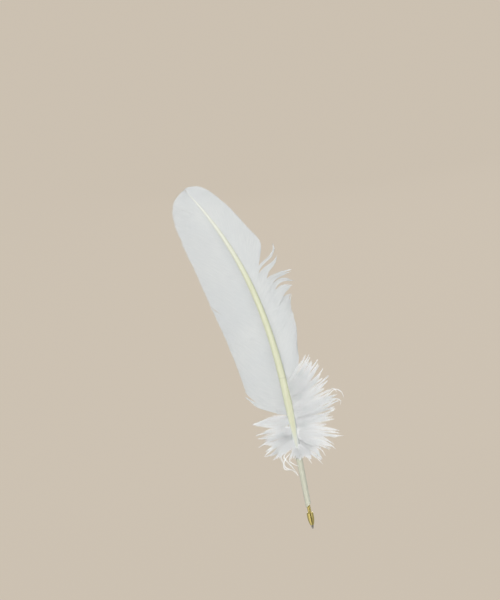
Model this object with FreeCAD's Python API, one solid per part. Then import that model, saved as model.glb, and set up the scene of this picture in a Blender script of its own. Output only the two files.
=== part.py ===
import FreeCAD, Part

# Feather quill pen: a white goose feather whose hollow calamus carries a brass ballpoint refill.
#
# Millimetres. +Z runs up the calamus. The feather's outer (dorsal) face looks along -Y, the broad
# trailing vane is on -X, and the narrow leading vane with most of the down is on +X. The origin is
# the lowest point of the writing ball.

import math
import os

from FreeCAD import Vector

# ---- Writing point -------------------------------------------------------------------------------
BALL_DIAMETER = 1.0
BALL_CLEARANCE = 0.02  # radial, between the ball and its seat
BALL_SHOWING = 0.33  # how far the ball stands out of the socket's lip
SOCKET_LIP_WALL = 0.07
SOCKET_CONE_ANGLE = 15.0  # degrees, between the cone and its axis
SOCKET_SHANK_SHOWING = 0.85  # cylinder between the cone and the nose
SOCKET_SHANK_IN_TUBE = 3.5
FEED_HOLE_DIAMETER = 0.4

# ---- Ink tube and nose ---------------------------------------------------------------------------
TUBE_DIAMETER = 2.8
TUBE_WALL = 0.3
TUBE_SEAT_DEPTH = 5.5  # how deep the tube is pressed into the nose
TUBE_END_GAP = 1.0  # air between the tube's open end and the umbilicus plug
FOLLOWER_LENGTH = 3.0  # grease on top of the ink
INK_HEADROOM = 9.0  # empty tube above the grease

NOSE_FRONT_WALL = 0.38
NOSE_LAND_DIAMETER = 5.4
NOSE_LAND_LENGTH = 3.2
NOSE_OGIVE_LENGTH = 6.5
NOSE_SHOULDER_LENGTH = 0.6
NOSE_BACK_WALL = 0.55

# ---- Calamus -------------------------------------------------------------------------------------
NECK_LENGTH = 5.6  # bare tube between the nose and the calamus
CALAMUS_LENGTH = 47.4
CALAMUS_WALL = 0.4
CALAMUS_TOP_DIAMETER = 5.2
MOUTH_SLANT = 3.0  # height of the slanting cut across the mouth
BUSH_WALL = 0.37
BUSH_CLEARANCE = 0.03  # radial, between the bush and the tube that slides in it
BUSH_LENGTH = 8.0
PLUG_THICKNESS = 2.5

# ---- Rachis --------------------------------------------------------------------------------------
RACHIS_LENGTH = 218.0  # measured along Z
RACHIS_SWEEP = 47.2  # how far the tip leans to the trailing side
RACHIS_DISH = 8.0  # how far the tip bends to the ventral side
RACHIS_TIP_WIDTH = 1.2
RACHIS_SWELL = 1.2  # width added where the shaft is thickest, among the down
SWELL_PLACE = 0.15  # share of the rachis where that is
RACHIS_CORTEX = 0.5
SWEEP_POWER = 2.9
DISH_POWER = 3.0
TAPER_POWER = 3.6
TIP_FLATTENING = 0.15  # depth lost against the width, at the tip
PITH_END = 0.9  # share of the rachis that holds pith

# ---- Vanes, locks and down -----------------------------------------------------------------------
VANE_THICKNESS = 0.4
TRAILING_BARB = 61.0  # longest barb of the trailing vane
TRAILING_CAMBER = 5.0
LEADING_BARB = 44.0
LEADING_CAMBER = 2.5
LOCK_THICKNESS = 0.4
LOCK_OFFSET = 0.6  # loose locks lie this far in front of or behind the vane
DOWN_THICKNESS = 0.8
DOWN_OFFSET = 0.75  # first layer of down, in front of or behind the vane
DOWN_PITCH = 0.9  # from the first layer to the second

# Barbs of a vane: place on the rachis (share of its length), angle at the root and at the tip
# (degrees from the shaft), length (share of the longest barb).
TRAILING_ROWS = (
    (0.142, 95, 10, 0.79),
    (0.197, 75, 14, 0.93),
    (0.321, 64, 20, 0.97),
    (0.436, 60, 22, 1.00),
    (0.550, 56, 23, 0.98),
    (0.665, 52, 22, 0.93),
    (0.766, 46, 18, 0.87),
    (0.858, 42, 20, 0.63),
    (0.931, 30, 16, 0.36),
    (1.000, 10, 6, 0.06),
)
TRAILING_SPLIT = 0.395  # the old nick in the trailing edge, which parts the vane in two
LEADING_MIDDLE_ROWS = (
    (0.188, 40, 15, 0.79),
    (0.234, 45, 17, 0.79),
    (0.289, 51, 22, 0.79),
    (0.344, 56, 24, 0.80),
    (0.399, 59, 26, 0.81),
)
LEADING_UPPER_ROWS = (
    (0.601, 42, 27, 0.86),
    (0.633, 37, 21, 0.93),
    (0.674, 34, 18, 0.98),
    (0.766, 30, 16, 1.00),
    (0.826, 28, 13, 0.86),
    (0.917, 20, 6, 0.51),
    (0.963, 18, 7, 0.28),
    (1.000, 8, 4, 0.08),
)

# Locks parted from the leading vane: as the vane's rows, with the lock's width.
LEADING_LOCKS = (
    (0.580, 40, 46, 1.00, 6.0),
    (0.555, 44, 44, 0.92, 6.5),
    (0.518, 42, 72, 0.99, 8.0),
    (0.482, 42, 72, 0.93, 9.0),
    (0.427, 62, 28, 0.89, 11.0),
)
# Loose locks and down: height of the root above the calamus, angle at the root and at the tip,
# length, width.
TRAILING_EDGE_LOCK = (29.0, 98, 30, 39.0, 1.6)
LEADING_DOWN = (
    (47.0, 60, 30, 38.0, 8.0),
    (44.0, 64, 40, 40.0, 8.0),
    (40.0, 66, 48, 37.5, 8.0),
    (36.0, 72, 58, 40.0, 8.0),
    (31.0, 78, 76, 42.0, 8.0),
    (27.0, 76, 90, 43.5, 7.0),
    (23.0, 84, 86, 38.0, 8.0),
    (19.0, 86, 96, 35.5, 8.0),
    (15.0, 98, 116, 39.0, 7.0),
    (12.0, 110, 130, 34.0, 6.5),
    (9.0, 120, 142, 27.5, 5.5),
    (7.0, 128, 152, 28.5, 4.0),
    (4.0, 136, 160, 19.0, 3.0),
)
TRAILING_DOWN = (
    (25.0, 92, 78, 35.0, 8.0),
    (17.0, 88, 96, 33.0, 7.5),
    (13.0, 92, 100, 31.0, 7.0),
    (10.0, 104, 122, 30.0, 6.5),
    (7.0, 112, 130, 23.0, 5.0),
)
TRAILING_WISPS = (
    (5.0, 118, 168, 24.0, 1.4),
    (4.0, 122, 190, 25.5, 1.2),
    (2.0, 120, 205, 24.0, 1.0),
)
# A lock's width along its length: place (share of the length), width (share of the widest).
VANE_PROFILE = ((0.0, 1.0), (0.2, 1.0), (0.45, 0.9), (0.7, 0.5), (0.85, 0.28), (1.0, 0.08))
DOWN_PROFILE = ((0.0, 0.5), (0.15, 0.8), (0.35, 1.0), (0.65, 0.66), (0.85, 0.32), (1.0, 0.08))

LEADING = 1
TRAILING = -1
BARB_STEPS = 6
RACHIS_SECTIONS = 16

# ---- Sizes that follow from the ones above -------------------------------------------------------
ball_radius = BALL_DIAMETER / 2
seat_radius = ball_radius + BALL_CLEARANCE
tube_radius = TUBE_DIAMETER / 2
shank_radius = tube_radius - TUBE_WALL
lip_inner_radius = math.sqrt(seat_radius**2 - (ball_radius - BALL_SHOWING) ** 2)
lip_radius = lip_inner_radius + SOCKET_LIP_WALL
cone_top_z = BALL_SHOWING + (shank_radius - lip_radius) / math.tan(math.radians(SOCKET_CONE_ANGLE))
nose_front_z = cone_top_z + SOCKET_SHANK_SHOWING
land_bottom_z = nose_front_z + NOSE_OGIVE_LENGTH
land_top_z = land_bottom_z + NOSE_LAND_LENGTH
nose_top_z = land_top_z + NOSE_SHOULDER_LENGTH
tube_bottom_z = nose_top_z - TUBE_SEAT_DEPTH
shank_top_z = tube_bottom_z + SOCKET_SHANK_IN_TUBE
mouth_z = nose_top_z + NECK_LENGTH
calamus_top_z = mouth_z - MOUTH_SLANT / 2 + CALAMUS_LENGTH
plug_bottom_z = calamus_top_z - PLUG_THICKNESS
tube_top_z = plug_bottom_z - TUBE_END_GAP
follower_top_z = tube_top_z - INK_HEADROOM
ink_top_z = follower_top_z - FOLLOWER_LENGTH
mouth_bore_radius = tube_radius + BUSH_CLEARANCE + BUSH_WALL
mouth_radius = mouth_bore_radius + CALAMUS_WALL
calamus_top_radius = CALAMUS_TOP_DIAMETER / 2
bush_bottom_z = mouth_z + MOUTH_SLANT / 2


def shaft_point(share):
    """Centre of the rachis at a share of its length; below 0 it is the calamus's straight axis."""
    along = max(share, 0.0)
    x = -RACHIS_SWEEP * along**SWEEP_POWER
    y = RACHIS_DISH * along**DISH_POWER
    return Vector(x, y, calamus_top_z + RACHIS_LENGTH * share)


def shaft_lean(share):
    """Angle between the shaft and +Z in the plane of the vane, towards the trailing side."""
    along = max(share, 0.0)
    slope = RACHIS_SWEEP * SWEEP_POWER * along ** (SWEEP_POWER - 1) / RACHIS_LENGTH
    return math.atan(slope)


def shaft_half_width(share):
    tip = RACHIS_TIP_WIDTH / 2
    taper = tip + (calamus_top_radius - tip) * (1 - share**TAPER_POWER)
    near = share / SWELL_PLACE
    return taper + RACHIS_SWELL / 2 * (near * math.exp(1 - near)) ** 3


def cylinder(radius, low, high):
    return Part.makeCylinder(radius, high - low, Vector(0, 0, low))


def turned(points, curve=None):
    """Solid of revolution about Z from a closed outline of (radius, z) points.

    curve names the first of two neighbouring points that a convex ogive joins instead of a line.
    """
    corners = [Vector(r, 0, z) for r, z in points]
    edges = []
    for i, start in enumerate(corners):
        end = corners[(i + 1) % len(corners)]
        if i == curve:
            # the ogive leaves the larger radius along the axis
            middle = Vector(0.36 * start.x + 0.64 * end.x, 0, (start.z + end.z) / 2)
            edges.append(Part.Arc(start, middle, end).toShape())
        else:
            edges.append(Part.LineSegment(start, end).toShape())
    face = Part.Face(Part.Wire(edges))
    return face.revolve(Vector(0, 0, 0), Vector(0, 0, 1), 360)


# ---- Refill --------------------------------------------------------------------------------------
def make_ball():
    return Part.makeSphere(ball_radius, Vector(0, 0, ball_radius))


def make_point_socket():
    body = turned([
        (0, BALL_SHOWING),
        (lip_radius, BALL_SHOWING),
        (shank_radius, cone_top_z),
        (shank_radius, shank_top_z),
        (0, shank_top_z),
    ])
    seat = Part.makeSphere(seat_radius, Vector(0, 0, ball_radius))
    feed = cylinder(FEED_HOLE_DIAMETER / 2, ball_radius, shank_top_z)
    return body.cut(seat).cut(feed)


def make_nose_cone():
    land_radius = NOSE_LAND_DIAMETER / 2
    shell = turned([
        (shank_radius, nose_front_z),
        (shank_radius + NOSE_FRONT_WALL, nose_front_z),
        (land_radius, land_bottom_z),
        (land_radius, land_top_z),
        (tube_radius + NOSE_BACK_WALL, nose_top_z),
        (shank_radius, nose_top_z),
    ], curve=1)
    return shell.cut(cylinder(tube_radius, tube_bottom_z, nose_top_z))


def make_ink_tube():
    outside = cylinder(tube_radius, tube_bottom_z, tube_top_z)
    return outside.cut(cylinder(shank_radius, tube_bottom_z, tube_top_z))


def make_ink_charge():
    return cylinder(shank_radius, shank_top_z, ink_top_z)


def make_ink_follower():
    return cylinder(shank_radius, ink_top_z, follower_top_z)


# ---- Calamus and what it holds -------------------------------------------------------------------
def calamus_cone(wall):
    """The calamus's outer shape, or with a wall the shape of its bore."""
    low = mouth_z - MOUTH_SLANT
    height = calamus_top_z - low
    return Part.makeCone(mouth_radius - wall, calamus_top_radius - wall, height, Vector(0, 0, low))


def make_calamus():
    tube = calamus_cone(0).cut(calamus_cone(CALAMUS_WALL))
    # the slanting cut leaves the trailing side longer
    reach = 2 * mouth_radius
    low = mouth_z - MOUTH_SLANT / 2
    high = mouth_z + MOUTH_SLANT / 2
    corners = [
        Vector(-reach, -reach, low - MOUTH_SLANT / 2),
        Vector(reach, -reach, high + MOUTH_SLANT / 2),
        Vector(reach, -reach, low - 2 * MOUTH_SLANT),
        Vector(-reach, -reach, low - 2 * MOUTH_SLANT),
    ]
    wedge = Part.Face(Part.makePolygon(corners + corners[:1])).extrude(Vector(0, 2 * reach, 0))
    return tube.cut(wedge)


def slab(low, high):
    reach = CALAMUS_TOP_DIAMETER
    return Part.makeBox(2 * reach, 2 * reach, high - low, Vector(-reach, -reach, low))


def make_mouth_bush():
    sleeve = calamus_cone(CALAMUS_WALL).common(slab(bush_bottom_z, bush_bottom_z + BUSH_LENGTH))
    hole = cylinder(tube_radius + BUSH_CLEARANCE, bush_bottom_z, bush_bottom_z + BUSH_LENGTH)
    return sleeve.cut(hole)


def make_umbilicus_plug():
    return calamus_cone(CALAMUS_WALL).common(slab(plug_bottom_z, calamus_top_z))


# ---- Rachis --------------------------------------------------------------------------------------
def rachis_section(share, wall):
    """Ellipse across the shaft, a wall's thickness inside its surface."""
    half_width = shaft_half_width(share)
    half_depth = half_width * (1 - TIP_FLATTENING * share)
    ellipse = Part.Ellipse(Vector(0, 0, 0), half_width - wall, half_depth - wall).toShape()
    ellipse.rotate(Vector(0, 0, 0), Vector(0, 1, 0), -math.degrees(shaft_lean(share)))
    ellipse.translate(shaft_point(share))
    return Part.Wire(ellipse)


def rachis_loft(wall, end):
    shares = [end * i / (RACHIS_SECTIONS - 1) for i in range(RACHIS_SECTIONS)]
    return Part.makeLoft([rachis_section(share, wall) for share in shares], True)


# ---- Vanes, locks and down -----------------------------------------------------------------------
def barb_point(root_share, side, root_angle, tip_angle, length, part_way, camber, offset=0.0):
    """Point part of the way along a barb that turns evenly from its root angle to its tip angle."""
    start = math.radians(root_angle)
    turn = math.radians(tip_angle - root_angle) * part_way
    run = length * part_way
    if abs(turn) < 1e-6:
        out = run * math.sin(start)
        up = run * math.cos(start)
    else:
        out = run * (math.cos(start) - math.cos(start + turn)) / turn
        up = run * (math.sin(start + turn) - math.sin(start)) / turn
    lean = shaft_lean(root_share)
    root = shaft_point(root_share)
    x = root.x - up * math.sin(lean) + side * out * math.cos(lean)
    z = root.z + up * math.cos(lean) + side * out * math.sin(lean)
    return Vector(x, root.y + offset + camber * part_way**2, z)


def sheet(grid, thickness):
    """Smooth surface through a grid of points, thickened evenly to both sides along Y."""
    surface = Part.BSplineSurface()
    surface.interpolate(grid)
    face = surface.toShape()
    face.translate(Vector(0, -thickness / 2, 0))
    return face.extrude(Vector(0, thickness, 0))


def row_at(rows, share):
    """The row at a place on the rachis, worked out between its two neighbours."""
    for low, high in zip(rows, rows[1:]):
        if low[0] <= share <= high[0]:
            mix = (share - low[0]) / (high[0] - low[0])
            return tuple(a + (b - a) * mix for a, b in zip(low, high))
    raise ValueError("no barb at that place")


def vane(rows, side, longest, camber):
    grid = []
    for share, root_angle, tip_angle, length in rows:
        grid.append([
            barb_point(share, side, root_angle, tip_angle, length * longest, i / BARB_STEPS, camber)
            for i in range(BARB_STEPS + 1)
        ])
    return sheet(grid, VANE_THICKNESS)


def lock(row, profile, side, thickness, camber, offset):
    """Pointed lock of barbs along one curved line, flat on the vane's plane."""
    share, root_angle, tip_angle, length, width = row
    lean = shaft_lean(share)
    grid = []
    for place, fullness in profile:
        centre = barb_point(share, side, root_angle, tip_angle, length, place, camber, offset)
        angle = math.radians(root_angle + (tip_angle - root_angle) * place)
        across = Vector(
            math.sin(lean) * math.sin(angle) + side * math.cos(angle) * math.cos(lean),
            0,
            -math.cos(lean) * math.sin(angle) + side * math.cos(angle) * math.sin(lean),
        )
        half = across * (width * fullness / 2)
        grid.append([centre - half, centre, centre + half])
    return sheet(grid, thickness)


def loose(row):
    """The row of a loose lock, with its root's height turned into a share of the rachis."""
    return (row[0] / RACHIS_LENGTH,) + row[1:]


def split_rows(rows, share):
    """The rows below and above a place, with the barb at that place in both."""
    middle = row_at(rows, share)
    below = [row for row in rows if row[0] < share] + [middle]
    above = [middle] + [row for row in rows if row[0] > share]
    return below, above


def make_barbs():
    """Every vane, lock and tuft of down, still running into the shaft."""
    pieces = {}
    below, above = split_rows(TRAILING_ROWS, TRAILING_SPLIT)
    pieces["vane_trailing_lower"] = vane(below, TRAILING, TRAILING_BARB, TRAILING_CAMBER)
    pieces["vane_trailing_upper"] = vane(above, TRAILING, TRAILING_BARB, TRAILING_CAMBER)
    pieces["vane_leading_middle"] = vane(LEADING_MIDDLE_ROWS, LEADING, LEADING_BARB, LEADING_CAMBER)
    pieces["vane_leading_upper"] = vane(LEADING_UPPER_ROWS, LEADING, LEADING_BARB, LEADING_CAMBER)
    for i, (share, root_angle, tip_angle, length, width) in enumerate(LEADING_LOCKS):
        offset = LOCK_OFFSET if i % 2 else -LOCK_OFFSET
        row = (share, root_angle, tip_angle, length * LEADING_BARB, width)
        pieces[f"lock_leading_{i + 1}"] = lock(
            row, VANE_PROFILE, LEADING, LOCK_THICKNESS, LEADING_CAMBER, offset
        )
    pieces["lock_trailing_edge"] = lock(
        loose(TRAILING_EDGE_LOCK), DOWN_PROFILE, TRAILING, LOCK_THICKNESS, 0, LOCK_OFFSET
    )
    far = DOWN_OFFSET + DOWN_PITCH
    layers = (-DOWN_OFFSET, -far, DOWN_OFFSET, far)
    for side, name, rows, first_layer in (
        (LEADING, "down_leading", LEADING_DOWN, 0),
        (TRAILING, "down_trailing", TRAILING_DOWN, 0),
        (TRAILING, "wisp_trailing", TRAILING_WISPS, len(TRAILING_DOWN)),
    ):
        for i, row in enumerate(rows):
            offset = layers[(i + first_layer) % len(layers)]
            piece = lock(loose(row), DOWN_PROFILE, side, DOWN_THICKNESS, 0, offset)
            pieces[f"{name}_{i + 1:02d}"] = piece
    return pieces


def make_feather():
    """The rachis, its pith and every barb piece, cut where they meet the shaft."""
    shaft = rachis_loft(0, 1.0)
    pith = rachis_loft(RACHIS_CORTEX, PITH_END)
    pieces = {"rachis": shaft.cut(pith), "rachis_pith": pith}
    quill = calamus_cone(0)
    for name, piece in make_barbs().items():
        cut = piece.cut(shaft)
        if cut.BoundBox.intersect(quill.BoundBox):
            cut = cut.cut(quill)
        pieces[name] = max(cut.Solids, key=lambda solid: solid.Volume)
    return pieces


def main():
    nodes = {
        "writing_ball": make_ball(),
        "point_socket": make_point_socket(),
        "nose_cone": make_nose_cone(),
        "ink_tube": make_ink_tube(),
        "ink_charge": make_ink_charge(),
        "ink_follower": make_ink_follower(),
        "calamus": make_calamus(),
        "mouth_bush": make_mouth_bush(),
        "umbilicus_plug": make_umbilicus_plug(),
        **make_feather(),
    }
    os.makedirs("parts", exist_ok=True)
    for name, shape in nodes.items():
        shape.exportStep(f"parts/{name}.step")
    print(len(nodes), "nodes; ink tube top", round(tube_top_z, 2), "mouth", round(mouth_z, 2))


main()
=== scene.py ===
import math

import bpy
import numpy as np
from mathutils import Matrix, Vector


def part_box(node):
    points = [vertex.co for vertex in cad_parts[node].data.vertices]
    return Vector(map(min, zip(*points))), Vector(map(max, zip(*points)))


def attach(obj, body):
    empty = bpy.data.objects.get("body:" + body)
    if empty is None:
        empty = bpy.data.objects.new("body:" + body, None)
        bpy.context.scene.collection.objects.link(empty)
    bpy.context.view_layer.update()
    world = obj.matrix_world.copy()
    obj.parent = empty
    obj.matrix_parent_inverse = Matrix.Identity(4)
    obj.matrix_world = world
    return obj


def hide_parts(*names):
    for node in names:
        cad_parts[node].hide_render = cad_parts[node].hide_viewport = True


# White goose-feather quill pen. Lengths are in millimetres until a mesh is made. +Z runs up the
# calamus, the outer (dorsal) face looks along -Y, the broad trailing vane is on -X and the narrow
# leading vane on +X.

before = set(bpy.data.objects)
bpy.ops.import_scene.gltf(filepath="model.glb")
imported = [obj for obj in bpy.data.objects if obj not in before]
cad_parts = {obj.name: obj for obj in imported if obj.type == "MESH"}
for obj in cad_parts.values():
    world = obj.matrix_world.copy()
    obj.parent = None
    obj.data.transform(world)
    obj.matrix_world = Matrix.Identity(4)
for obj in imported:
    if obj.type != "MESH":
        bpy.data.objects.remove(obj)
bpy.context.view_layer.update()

MM = 0.001
LEADING = 1
TRAILING = -1
BACKWARD = np.array([0.0, 1.0, 0.0])
rng = np.random.default_rng(20)

# ---- The part's own sizes ----
CALAMUS_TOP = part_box("calamus")[1].z / MM
MOUTH_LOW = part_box("calamus")[0].z / MM
MOUTH_SLANT = 3.0
MOUTH_Z = MOUTH_LOW + MOUTH_SLANT / 2
MOUTH_RADIUS = 2.2
CALAMUS_RADIUS = 2.6
CALAMUS_WALL = 0.4
LIP_ROUNDING = 0.06
RACHIS_LENGTH = 218.0
RACHIS_SWEEP = 47.2  # how far its tip leans to the trailing side
RACHIS_DISH = 8.0  # how far its tip bows back
RACHIS_TIP_RADIUS = 0.6
RACHIS_SWELL = 1.2  # extra width among the down
SWELL_PLACE = 0.15  # where on the rachis that swell is widest
SWEEP_POWER = 2.9
DISH_POWER = 3.0
TAPER_POWER = 3.6
TIP_FLATTENING = 0.15
NOSE_RADIUS = 2.70
NOSE_LAND = 3.2
NOSE_SHOULDER = 0.6
TUBE_RADIUS = 1.40
TUBE_BORE = 1.10
POINT_SHOWING = 0.85  # straight part of the point between its cone and the nose
BALL_RADIUS = 0.5
TRAILING_CAMBER = 5.0  # how far back the vane's edge lies from its root
LEADING_CAMBER = 2.5

# Barbs of a vane: place on the rachis (share of its length), angle at the root (degrees from the
# shaft), then where the tip ends, as x and z.
TRAILING_ROWS = (
    (0.150, 88, -32.4, 117.6),
    (0.158, 86, -33.1, 123.4),
    (0.172, 83, -34.2, 132.2),
    (0.197, 71, -36.4, 144.6),
    (0.250, 59, -39.4, 160.4),
    (0.321, 51, -43.6, 176.0),
    (0.395, 48, -47.2, 191.6),
    (0.436, 47, -49.6, 201.2),
    (0.550, 45, -54.6, 222.6),
    (0.665, 43, -60.1, 243.6),
    (0.740, 40, -62.7, 257.0),
    (0.790, 37, -63.4, 266.0),
    (0.840, 34, -62.5, 273.2),
    (0.880, 31, -60.2, 278.2),
    (0.915, 26, -57.2, 281.8),
    (0.945, 21, -54.2, 284.3),
    (0.975, 14, -51.6, 286.1),
    (1.000, 8, -49.6, 287.0),
)
LEADING_MIDDLE_ROWS = (
    (0.188, 40, 15.4, 137.4),
    (0.234, 45, 16.0, 147.0),
    (0.289, 51, 17.8, 160.0),
    (0.344, 56, 17.9, 169.8),
    (0.399, 58, 17.1, 179.0),
    (0.420, 58, 17.8, 183.6),
    (0.437, 57, 19.3, 188.4),
)
LEADING_UPPER_ROWS = (
    (0.601, 39, 1.9, 227.6),
    (0.610, 38, 2.8, 231.4),
    (0.622, 37, 2.5, 234.9),
    (0.638, 36, 0.8, 238.6),
    (0.674, 34, -6.0, 249.3),
    (0.720, 31, -13.2, 261.2),
    (0.766, 30, -19.9, 270.8),
    (0.800, 29, -24.8, 276.9),
    (0.826, 28, -28.5, 280.9),
    (0.860, 25, -33.2, 284.8),
    (0.890, 22, -37.2, 287.0),
    (0.917, 20, -40.8, 288.0),
    (0.945, 17, -44.2, 288.3),
    (0.970, 14, -46.9, 288.0),
    (1.000, 7, -49.3, 287.1),
)
LOCK_ROOTS = ((0.437, 57, 19.3, 188.4), (0.500, 51, 16.0, 200.0), (0.601, 39, 1.9, 227.6))
TRAILING_SPLIT = 0.395
PANEL_LOW = 0.399
PANEL_TOP = 0.437
BARB_SPACING = 0.40
BARB_STEPS = 24

# Locks of the leading vane: shares of the rachis between which its barbs stand, how far it lies in
# front of or behind the vane at its tip, then its middle line as (x, z, width).
LEADING_LOCKS = {
    "lock_leading_1": [
        (0.583, 0.601, -1.2, ((-4.3, 210.9, 2.6), (-0.4, 215.0, 2.2), (4.5, 218.4, 1.9),
                              (9.2, 221.7, 1.6), (11.7, 225.4, 1.2), (12.2, 231.6, 0.5))),
    ],
    "lock_leading_2": [
        (0.558, 0.583, 0.9, ((-1.6, 205.0, 7.0), (2.9, 210.5, 5.0), (7.6, 213.6, 3.3),
                             (11.5, 216.7, 2.0), (13.9, 221.6, 0.6))),
    ],
    "lock_leading_3": [
        (0.541, 0.558, -1.6, ((0.8, 199.9, 3.2), (5.0, 203.6, 2.4), (10.5, 205.4, 1.7),
                              (17.0, 206.6, 1.5), (24.4, 207.3, 0.9))),
        (0.525, 0.541, -0.8, ((2.6, 197.4, 3.2), (6.6, 201.4, 2.4), (11.2, 203.5, 1.8),
                              (17.2, 204.9, 1.5), (23.0, 205.7, 0.8))),
    ],
    "lock_leading_4": [
        (0.503, 0.525, 1.3, ((4.2, 194.0, 5.0), (8.4, 198.2, 3.6), (12.8, 200.1, 3.0),
                             (18.0, 199.8, 2.2), (24.2, 197.5, 0.7))),
        (0.465, 0.503, -0.9, ((6.2, 187.0, 9.4), (10.6, 191.2, 7.4), (14.6, 193.6, 5.8),
                              (18.4, 194.6, 4.6), (21.6, 194.8, 3.0))),
    ],
    "lock_leading_5": [
        (0.437, 0.465, 0.5, ((9.4, 178.4, 6.2), (12.0, 182.4, 5.6), (14.4, 185.4, 4.8),
                             (16.8, 187.4, 3.2), (19.3, 188.3, 0.8))),
    ],
}
TRAILING_EDGE_LOCK = ((-5.2, 96.0, 3.0), (-12.0, 98.5, 2.9), (-17.6, 101.3, 3.0),
                      (-22.6, 104.1, 3.1), (-28.2, 108.6, 2.4), (-34.2, 114.6, 0.6))
TRAILING_EDGE_ROOTS = ((0.10, 82, -32.2, 112.8), (0.16, 88, -32.2, 116.0))

# Down: height of the root above the calamus, angle at the root and at the tip, length, width.
LEADING_DOWN = (
    (47.0, 60, 30, 38.0, 8.0),
    (44.0, 64, 40, 40.0, 8.0),
    (40.0, 66, 48, 37.5, 8.0),
    (36.0, 72, 58, 40.0, 8.0),
    (31.0, 78, 76, 42.0, 8.0),
    (27.0, 76, 90, 43.5, 7.0),
    (23.0, 84, 86, 38.0, 8.0),
    (19.0, 86, 96, 35.5, 8.0),
    (15.0, 98, 116, 39.0, 7.0),
    (12.0, 110, 130, 34.0, 6.5),
    (9.0, 120, 142, 27.5, 5.5),
    (7.0, 128, 152, 28.5, 4.0),
    (4.0, 136, 160, 19.0, 3.0),
)
TRAILING_DOWN = (
    (24.3, 92, 77, 36.5, 8.0),
    (15.6, 88, 96, 33.0, 7.5),
    (12.0, 93, 103, 31.0, 7.0),
    (9.6, 104, 122, 30.0, 6.5),
    (7.0, 112, 130, 23.0, 5.0),
)
# A lock's width along its length, as shares of its full length and of its own width.
PROFILE_PLACES = (0.0, 0.15, 0.35, 0.65, 0.85, 1.0)
DOWN_PROFILE = (0.45, 0.85, 1.10, 1.12, 0.90, 0.62)
FULL_PROFILE = (0.45, 0.85, 1.15, 1.32, 1.22, 1.00)
POINTED_PROFILE = (0.45, 0.95, 1.15, 0.70, 0.32, 0.06)
# How far neighbouring locks rise in front of the shaft (minus) or lie behind it, and the heights
# between which these layers come together towards the vanes.
DOWN_LAYERS = (-0.8, -1.5, 0.6, 1.3)
LAYERS_MERGE = (30.0, 54.0)
FULL_HEIGHT = 30.0  # locks above this have the full profile
# Roots of the front locks: y at these heights, so that the lower ones stand further in front.
ROOT_HEIGHTS = (4.0, 34.0)
ROOT_YS = (-1.8, -0.5)
# Short tufts that lie over the top of the calamus, laid out like the down.
COVER_TUFTS = {
    LEADING: ((3.6, 140, 172, 12.5, 4.2), (1.0, 160, 184, 10.0, 3.4)),
    TRAILING: ((3.2, 144, 174, 12.0, 4.2), (0.8, 164, 186, 9.5, 3.2)),
}
COVER_LAYER = -1.1
COVER_ROOT_Y = -2.1

# Loose strands: the middle line of each, as (x, z), in the plane just in front of the shaft.
STRANDS = {
    "wisp_trailing_01": [
        ((-2.2, 69.5), (-9.0, 66.5), (-14.1, 61.3), (-13.3, 56.4), (-11.8, 52.2), (-6.9, 49.2),
         (-3.6, 44.4)),
    ],
    "wisp_trailing_02": [
        ((-2.2, 68.0), (-8.0, 65.0), (-11.8, 60.9), (-10.1, 57.0), (-7.4, 52.9), (-5.2, 48.8),
         (-3.2, 43.7)),
    ],
    "wisp_trailing_03": [
        ((-1.8, 66.5), (-5.8, 62.0), (-7.8, 57.0), (-4.8, 53.6), (-1.6, 51.7)),
        ((-6.5, 63.0), (-12.4, 57.0), (-13.1, 51.6), (-8.0, 49.4)),
    ],
    "down_leading_05": [
        ((27.0, 99.0), (33.0, 103.4), (38.6, 106.4), (43.0, 103.6), (44.3, 98.9)),
        ((26.0, 101.0), (32.0, 104.4), (37.4, 107.2), (39.6, 104.0)),
    ],
    "down_leading_06": [
        ((26.0, 94.0), (32.4, 96.4), (38.4, 98.8), (41.3, 96.0), (40.2, 93.6)),
    ],
    "down_leading_09": [((20.0, 74.5), (26.0, 71.6), (32.0, 69.8), (38.2, 68.7))],
    "down_leading_10": [((13.0, 71.0), (20.0, 68.4), (25.4, 64.7), (30.0, 59.4))],
    "down_leading_11": [((6.0, 70.5), (13.6, 65.4), (19.4, 59.9), (20.9, 55.8))],
    "down_leading_12": [((3.0, 68.0), (8.8, 61.4), (14.2, 54.8), (17.5, 49.8))],
    "down_leading_13": [((2.2, 66.5), (5.2, 60.4), (7.4, 55.6), (9.2, 51.8))],
}


# ---- Laws of the shaft and the barbs ----
def shaft_point(share):
    """Centre of the rachis at shares of its length, as an array of points."""
    along = np.maximum(share, 0.0)
    x = -RACHIS_SWEEP * along**SWEEP_POWER
    y = RACHIS_DISH * along**DISH_POWER
    return np.stack([x, y, CALAMUS_TOP + RACHIS_LENGTH * share], -1)


def shaft_lean(share):
    along = np.maximum(share, 0.0)
    return np.arctan(RACHIS_SWEEP * SWEEP_POWER * along ** (SWEEP_POWER - 1) / RACHIS_LENGTH)


def shaft_half_width(share):
    taper = RACHIS_TIP_RADIUS + (CALAMUS_RADIUS - RACHIS_TIP_RADIUS) * (1 - share**TAPER_POWER)
    near = share / SWELL_PLACE
    return taper + RACHIS_SWELL / 2 * (near * np.exp(1 - near)) ** 3


def cubic(t, first, first_slope, second, second_slope):
    """A smooth step from first to second with the given slopes at its ends, t from 0 to 1."""
    return (
        (2 * t**3 - 3 * t**2 + 1) * first
        + (t**3 - 2 * t**2 + t) * first_slope
        + (3 * t**2 - 2 * t**3) * second
        + (t**3 - t**2) * second_slope
    )


def smooth_columns(rows, share):
    """Each column of a table at the given shares, on a smooth curve through its rows."""
    table = np.array(rows, float)
    knots, values = table[:, 0], table[:, 1:]
    slopes = np.gradient(values, knots, axis=0)
    low = np.clip(np.searchsorted(knots, share, "right") - 1, 0, len(knots) - 2)
    gap = (knots[low + 1] - knots[low])[:, None]
    t = (share - knots[low])[:, None] / gap
    ends = values[low], gap * slopes[low], values[low + 1], gap * slopes[low + 1]
    return cubic(t, *ends).T


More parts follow.
